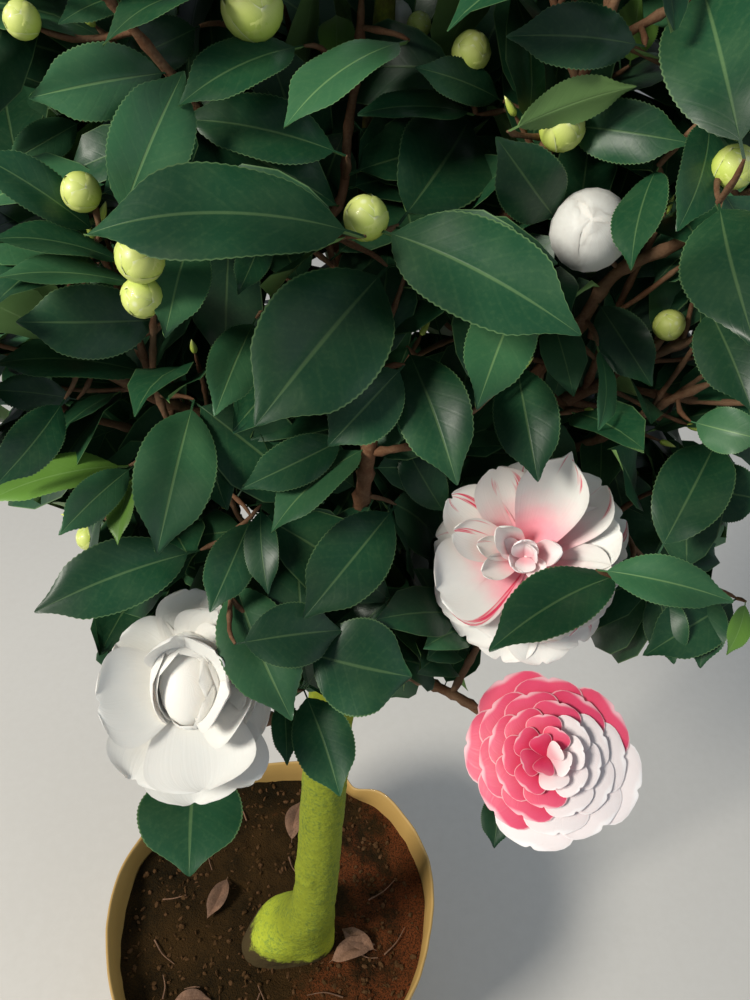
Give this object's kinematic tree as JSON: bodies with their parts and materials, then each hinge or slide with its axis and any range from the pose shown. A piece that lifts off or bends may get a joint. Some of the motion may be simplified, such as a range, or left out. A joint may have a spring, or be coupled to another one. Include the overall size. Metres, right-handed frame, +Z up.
{
  "type": "camellia shrub",
  "caption": "Evergreen camellia shrub in bloom, grown as a small standard: mossy leaning trunk, leafy crown with large double flowers and round buds, in a soft nursery pot.",
  "frame": {"origin": "centre of the pot's flat underside, where it stands on the ground", "axes": "+Z up, the front that the picture shows towards -Y, +X to the right seen from the front"},
  "size_m": [0.5896, 0.5056, 1.4037],
  "materials": {
    "pot": "satin",
    "soil": "matte",
    "mossy_bark": "matte",
    "bark": "matte",
    "foliage": "satin"
  },
  "bodies": {
    "root": {"bough_lower_1": "bark", "bough_lower_2": "bark", "bough_lower_3": "bark", "bough_lower_4": "bark", "bough_lower_5": "bark", "bough_middle_1": "bark", "bough_middle_2": "bark", "bough_middle_3": "bark", "bough_middle_4": "bark", "bough_middle_5": "bark", "bough_upper_1": "bark", "bough_upper_2": "bark", "bough_upper_3": "bark", "foliage_lower_1": "foliage", "foliage_lower_2": "foliage", "foliage_lower_3": "foliage", "foliage_lower_4": "foliage", "foliage_lower_5": "foliage", "foliage_middle_1": "foliage", "foliage_middle_2": "foliage", "foliage_middle_3": "foliage", "foliage_middle_4": "foliage", "foliage_middle_5": "foliage", "foliage_top": "foliage", "foliage_upper_1": "foliage", "foliage_upper_2": "foliage", "foliage_upper_3": "foliage", "pot": "pot", "soil": "soil", "trunk": "mossy_bark"}
  },
  "joints": []
}
